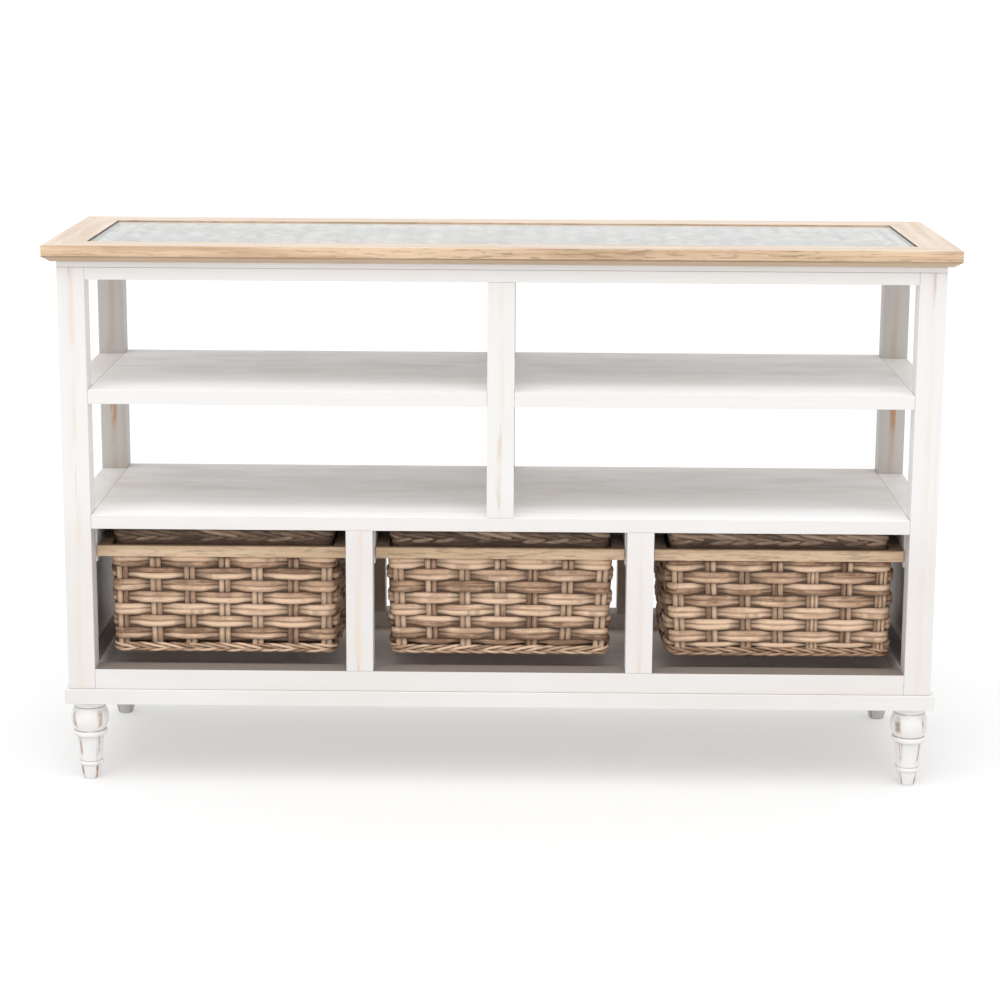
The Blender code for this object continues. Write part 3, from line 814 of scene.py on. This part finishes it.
def leg_paint(name, centre, seed, shade):
    """White paint on a turned leg, rubbed to bare wood in upright strokes on its swellings."""
    t = Tree(name)
    place = t.place()
    dx = t.minus(t.part(place, 0), centre[0])
    dy = t.minus(t.part(place, 1), centre[1])
    turn = t.math("ARCTAN2", dy, dx)
    height = t.part(place, 2)
    round_at = t.add("CombineXYZ", {"X": turn, "Y": t.times(height, 9.0), "Z": seed})
    wobble = t.noise(round_at.outputs[0], 2.2, 2.0)
    angle = t.plus(turn, t.times(t.minus(wobble, 0.5), 0.5))
    fold = t.math("COSINE", t.times(angle, 4.0))
    ridge = t.times(fold, -1.0)
    stroke = t.step(ridge, 0.74, 0.96)
    high = t.ramp(t.math("DIVIDE", height, LEG_HEIGHT), LEG_RUBBED, "LINEAR")
    grain = t.noise(t.stretch(place, (1.0, 1.0, 0.08), (seed, seed, 0.0)), 300.0, 4.0, 0.6)
    patch = t.noise(t.stretch(place, (1.0, 1.0, 0.5), (seed, 0.0, seed)), 55.0, 3.0)
    worn = t.times(t.times(stroke, high), t.step(grain, 0.36, 0.56))
    worn = t.times(worn, t.step(patch, 0.33, 0.47))
    # Painted shade: a shade below 1 darkens the whole coat.
    coat = scaled(WHITE, shade)
    colour = t.mix(t.step(grain, 0.4, 0.8, 0.0, 0.14), coat, scaled(coat, 0.86))
    halo = t.times(t.step(ridge, 0.45, 0.95), high)
    colour = t.mix(t.times(halo, 0.32), colour, (0.58, 0.47, 0.40))
    grime = t.mix(t.step(t.noise(place, 28.0, 2.0), 0.42, 0.58), (0.22, 0.18, 0.155), (0.40, 0.21, 0.12))
    colour = t.mix(t.times(worn, 0.95), colour, grime)
    edge = t.step(t.noise(place, 120.0, 3.0), 0.60, 0.72, 0.0, 0.25)
    colour = t.mix(edge, colour, (0.70, 0.59, 0.50))
    # Painted shade lines in the grooves.
    for groove, width, strength in LEG_GROOVES:
        gap = t.size(t.minus(height, groove))
        line = t.times(t.step(gap, width, width * 0.25), t.step(patch, 0.25, 0.55, 0.35, 1.0))
        colour = t.mix(t.times(line, strength), colour, (0.24, 0.20, 0.18))
    normal = t.bump(t.minus(grain, worn), 0.2, 0.0006)
    return t.principled(colour, t.step(grain, 0.3, 0.7, 0.36, 0.50), normal, Specular_IOR_Level=0.45)


def turned_legs():
    profile = [(height * MM, radius * MM) for height, radius in LEG]
    for k, name in enumerate(("leg_front_left", "leg_front_right", "leg_rear_left", "leg_rear_right")):
        low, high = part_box(name)
        centre = ((low[0] + high[0]) / 2.0, (low[1] + high[1]) / 2.0)
        shade = REAR_LEG_SHADE if "rear" in name else 1.0
        material = leg_paint("white_paint_" + name, centre, 1.0 + 2.3 * k, shade)
        piece = lathe("turned_" + name, profile, centre, LEG_SIDES, material)
        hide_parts(name)
        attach(piece, "carcass")


# ---------------------------------------------------------------- baskets
FRONT_COLUMNS = 7
SIDE_COLUMNS = 6
COLUMN_PITCH = 0.0580
SIDE_PITCH = 0.054
# The wall's middle surface just under the rim: its half width, how far it lies inside the rim at front
# and back, its corners' radius, and the points round it.
WALL_HALF, WALL_INSET, WALL_CORNER, WALL_POINTS = 0.1878, 0.0163, 0.013, 1060
# A weaver's swing in and out, its half thickness and half height, and half the step between a pair.
BULGE, THICK, TALL, PAIR = 0.0042, 0.0029, 0.0056, 0.0047
ROWS = 7
FIRST_ROW = 0.0104
FLOOR_ROW = 0.0105
# How much narrower the foot is from front to back, as a share.
DRAW_IN = 0.036
# How each basket came out by hand: row pitch, how far its mouth and foot sit off the middle of the
# rim, the foot's half width, whether a single cane fills the last gap, the way the foot is plaited, and
# how far the side walls swell.
MADE = {
    "left": dict(pitch=0.0212, mouth=0.0022, foot=0.0014, half=0.1856, single=False, way=1.0, belly=0.003),
    "centre": dict(pitch=0.0206, mouth=0.0, foot=-0.0004, half=0.1822, single=True, way=-1.0, belly=0.0),
    "right": dict(pitch=0.0209, mouth=0.0012, foot=0.0052, half=0.1826, single=True, way=1.0, belly=0.009),
}
SEEDS = {"left": 21, "centre": 22, "right": 23}
CANE_LIGHT, CANE_MIDDLE, CANE_DARK = (0.84, 0.60, 0.42), (0.56, 0.365, 0.24), (0.24, 0.135, 0.078)
# CANE_DEEP is the painted shade colour in the hollows of the weave, also used for the canes' knuckle rings.
CANE_DEEP = (0.040, 0.020, 0.011)
BORDER_LIGHT, BORDER_MIDDLE, BORDER_DARK = (0.44, 0.31, 0.22), (0.21, 0.14, 0.095), (0.075, 0.047, 0.03)
# The rims' wood, and the painted shade on their top faces.
RIM_LIGHT, RIM_DARK, RIM_TOP_SHADE = (0.74, 0.55, 0.375), (0.58, 0.405, 0.25), (0.37, 0.25, 0.165)


def weave_basket(bay, cane, cane_dark):
    """Weaves one basket: the tub's rows, stakes and bottom as one piece, and its foot and border plaits."""
    rng = random.Random(SEEDS[bay])
    made = MADE[bay]
    pitch, foot_half, belly = made["pitch"], made["half"], made["belly"]
    rim_low, rim_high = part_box("basket_rim_" + bay)
    body = "basket_" + bay
    cx = (rim_low[0] + rim_high[0]) / 2.0
    cy = (rim_low[1] + rim_high[1]) / 2.0
    under = rim_low[2] - 0.0006
    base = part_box("basket_tub_" + bay)[0][2]
    half_x, half_y = WALL_HALF, (rim_high[1] - rim_low[1]) / 2.0 - WALL_INSET
    count = WALL_POINTS
    xy, normal, at, total = rounded_path(half_x, half_y, WALL_CORNER, count)

    def place(x, y, z, push, way):
        """Points of the wall from their places on the mouth: narrower inside the rim and towards the
        foot, leaning and swelling as this basket does, and pushed outwards the given way."""
        down = (under - z) / (under - base - 0.014)
        sunk = np.clip(down, 0.0, 1.1)
        neck = np.clip((z - under + 0.004) / 0.006, 0.0, 1.0) * 0.0038
        sx = 1.0 - (1.0 - foot_half / half_x) * sunk - neck / half_x
        sy = 1.0 - DRAW_IN * sunk
        lean = made["mouth"] + (made["foot"] - made["mouth"]) * sunk
        swell = belly * np.clip(1.0 - (y / half_y) ** 4, 0.0, 1.0) * np.clip(down * 8.0, 0.0, 1.0)
        lean = lean + swell * np.clip(x / half_x, -1.0, 1.0)
        return np.stack([cx + lean + x * sx + way[0] * push, cy + y * sy + way[1] * push, z], 1)

    # Column positions as distances along the path.
    side_start = (FRONT_COLUMNS - 1) / 2.0 * COLUMN_PITCH
    front = [(-side_start + k * COLUMN_PITCH, -half_y) for k in range(FRONT_COLUMNS)]
    up_side = (SIDE_COLUMNS - 1) / 2.0 * SIDE_PITCH
    right = [(half_x, -up_side + k * SIDE_PITCH) for k in range(SIDE_COLUMNS)]
    marks = []
    for px, py in front + right + [(-x, half_y) for x, _ in front] + [(-half_x, -y) for _, y in right]:
        mark = float(at[np.argmin((xy[:, 0] - px) ** 2 + (xy[:, 1] - py) ** 2)])
        marks.append(mark if not marks or mark > marks[0] else mark + total)
    marks = [m + rng.uniform(-0.0012, 0.0012) for m in marks]
    columns = len(marks)
    long_marks = [m - total for m in marks] + marks + [m + total for m in marks]
    phase = np.interp(at, long_marks, list(range(-columns, 2 * columns)))

    weave = Strands(8, 0.34)
    out = np.concatenate([normal, np.zeros((count, 1))], 1)
    up = same(Z_WAY, count)
    ripple = at / total * 2.0 * math.pi

    def noise_wave(low, high, size):
        """A slow unevenness round the basket, with between low and high waves."""
        return size * np.sin(ripple * rng.randint(low, high) + rng.uniform(0, 6.3))

    # Rows: height, number, which of a pair, and size. A thin one closes the gap under the rim.
    first = under - FIRST_ROW
    rows = [(first - row * pitch, row, (-1.0, 1.0), 1.0) for row in range(ROWS)]
    if made["single"]:
        rows.append((first - (ROWS - 0.28) * pitch, ROWS, (0.0,), 0.82))
    rows.append((under - 0.0012, 0, (0.0,), 0.36))
    for centre_z, row, halves, size in rows:
        thin = size < 0.5
        wave = np.cos(math.pi * (phase + row))
        flat = np.sign(wave) * np.abs(wave) ** 0.7
        sag = noise_wave(3, 7, 0.0005)
        full = 0.80 + 0.20 * np.clip((wave + 0.6) / 1.1, 0.0, 1.0)
        for half in halves:
            z = centre_z + half * PAIR * (0.90 + 0.10 * np.clip(wave, -1, 1)) + sag
            z = z + noise_wave(9, 17, 0.0003) + noise_wave(21, 33, 0.0002)
            push = BULGE * flat * (0.5 if thin else 1.0) + noise_wave(11, 19, 0.0003)
            if thin:
                push = push + 0.0022
            path = place(xy[:, 0], xy[:, 1], z, push, normal.T)
            # Painted shade where the row passes behind the stakes.
            hollow = np.clip(-0.60 * wave, 0.0, 0.55) * (0.3 if thin else 1.0)
            height = TALL * full * size * (0.96 + 0.06 * rng.random())
            weave.tube(path, out, up, THICK * (0.6 if thin else 1.0), height, True, rng.random(), hollow)
    # Thin canes packed between the rows close the wall, nearly all in painted shade.
    fills = [(max(first + (0.5 - row) * pitch, base + 0.014), 0.0034, None) for row in range(ROWS + 1)]
    fills += [(first - row * pitch, 0.0017, row) for row in range(ROWS)]
    fills += [(rim_high[2] + 0.0015, 0.0060, None), (rim_high[2] + 0.0125, 0.0070, None)]
    for z, height, row in fills:
        push = -0.0014 if row is None else BULGE * np.cos(math.pi * (phase + row)) - 0.0014
        path = place(xy[:, 0], xy[:, 1], np.full(count, z), push, normal.T)
        weave.tube(path, out, up, 0.0009, height, True, 0.2, np.full(count, 0.80))
    # Upright stakes, in pairs or threes, up through the rim into the border.
    top_z = rim_high[2] - 0.002
    rise = 44
    z = np.linspace(base + 0.010, top_z, rise)
    for number, mark in enumerate(marks):
        k = int(round(mark / total * count)) % count
        n2 = normal[k]
        tangent = np.array([-n2[1], n2[0]])
        bundle = 3 if rng.random() < 0.22 else 2
        width = 0.0100 if bundle == 2 else 0.0070
        tilt = rng.uniform(-0.0016, 0.0016)
        for s in range(bundle):
            side = (s - (bundle - 1) / 2.0) * width + rng.uniform(-4e-4, 4e-4)
            side = side + tilt * (z - base) / (top_z - base)
            wave = -np.cos(math.pi * ((first - z) / pitch + number))
            wave = np.where(z > under, 0.0, wave)
            path = place(xy[k, 0] + tangent[0] * side, xy[k, 1] + tangent[1] * side, z, 0.0012 * wave, n2)
            o = same([n2[0], n2[1], 0.0], rise)
            tt = same([tangent[0], tangent[1], 0.0], rise)
            # Painted shade where a stake passes behind a row, and heavy painted shade round and above the
            # rim.
            hollow = np.clip(0.40 - 0.22 * wave, 0.0, 0.66)
            hollow = np.where(z > under - 0.005, 0.85, hollow)
            weave.tube(path, o, tt, 0.0024, width * 0.49, False, rng.random(), hollow)
    # Woven bottom: doubled canes from front to back, and canes across them.
    fx, fy = foot_half - 0.003, half_y * 0.964 - 0.003
    floor_z = base + 0.0072
    fcx = cx + made["foot"]
    steps = 61
    y = np.linspace(-fy, fy, steps)
    lanes = [(-side_start + k * COLUMN_PITCH / 2.0) for k in range(2 * FRONT_COLUMNS - 1)]
    for lane in lanes:
        for off in (-0.0042, 0.0042):
            path = np.stack([np.full(steps, fcx + lane * 0.97 + off), cy + y, np.full(steps, floor_z)], 1)
            # A little painted shade all along the bottom's canes.
            rise_way, side_way, hollow = same(Z_WAY, steps), same(X_WAY, steps), np.full(steps, 0.2)
            weave.tube(path, rise_way, side_way, 0.0018, 0.0039, False, rng.random(), hollow)
    steps = len(lanes) * 5 + 1
    x = np.linspace(-fx, fx, steps)
    across = int(2 * fy / FLOOR_ROW)
    for row in range(across):
        yy = -fy + (row + 0.5) * 2 * fy / across
        wave = np.cos(math.pi * ((x / 0.97 + side_start) / (COLUMN_PITCH / 2.0) + row // 2))
        path = np.stack([fcx + x, np.full(steps, cy + yy), floor_z + 0.0031 * wave], 1)
        # A little painted shade all along the bottom's canes.
        rise_way, side_way, hollow = same(Z_WAY, steps), same(Y_WAY, steps), np.full(steps, 0.12)
        weave.tube(path, rise_way, side_way, 0.0019, 0.0050, False, rng.random(), hollow)
    piece = weave.build("woven_tub_" + bay, cane)
    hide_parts("basket_tub_" + bay)
    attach(piece, body)

    def plait(name, material, way, strands, length, grow, z_mid, radial, vertical, thick, tall):
        """A flat plait round the basket: each strand crosses from edge to edge over and under the rest.
        length is one turn of a strand, grow how far the plait stands out from the wall, radial and
        vertical how far its strands swing, and thick and tall half their section."""
        rope = Strands(8, 0.22)
        turns = round(total / length)
        for s in range(strands):
            swing = way * 2.0 * math.pi * turns * at / total + 2.0 * math.pi * s / strands
            swing = swing + noise_wave(9, 15, 0.07)
            depth = -0.70 * np.cos(swing) * (2.0 * np.sin(swing) + 0.6)
            push = grow + radial * depth + noise_wave(13, 23, 0.0002)
            z = z_mid + vertical * np.sin(swing) + noise_wave(13, 23, 0.0004)
            path = place(xy[:, 0], xy[:, 1], np.full(count, min(z_mid, under)), push, normal.T)
            path[:, 2] = z
            # Painted shade where a strand passes under the others.
            hollow = np.clip(0.16 - 0.62 * depth, 0.0, 0.7)
            rope.tube(path, out, up, thick, tall, True, rng.random(), hollow)
        piece = rope.build(name, material)
        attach(piece, body)

    plait("foot_braid_" + bay, cane, made["way"], strands=5, length=0.135, grow=0.0016,
          z_mid=base + 0.0079, radial=0.0034, vertical=0.0055, thick=0.0021, tall=0.0026)
    plait("border_braid_" + bay, cane_dark, 1.0, strands=6, length=0.230, grow=-0.0032,
          z_mid=rim_high[2] + 0.0146, radial=0.0036, vertical=0.0074, thick=0.0024, tall=0.0042)


def baskets():
    cane = strand_material("natural_rattan", CANE_LIGHT, CANE_MIDDLE, CANE_DARK, CANE_DEEP)
    cane_dark = strand_material("border_rattan", BORDER_LIGHT, BORDER_MIDDLE, BORDER_DARK, CANE_DEEP)
    for bay in MADE:
        weave_basket(bay, cane, cane_dark)
        wood = oak("rim_wood_" + bay, 0, RIM_LIGHT, RIM_DARK, line=0.8, rough_low=0.5, crown=RIM_TOP_SHADE)
        put(nodes["basket_rim_" + bay], wood)


make_camera()
make_stage()
dress_woodwork()
dress_top()
woven_top()
turned_legs()
baskets()
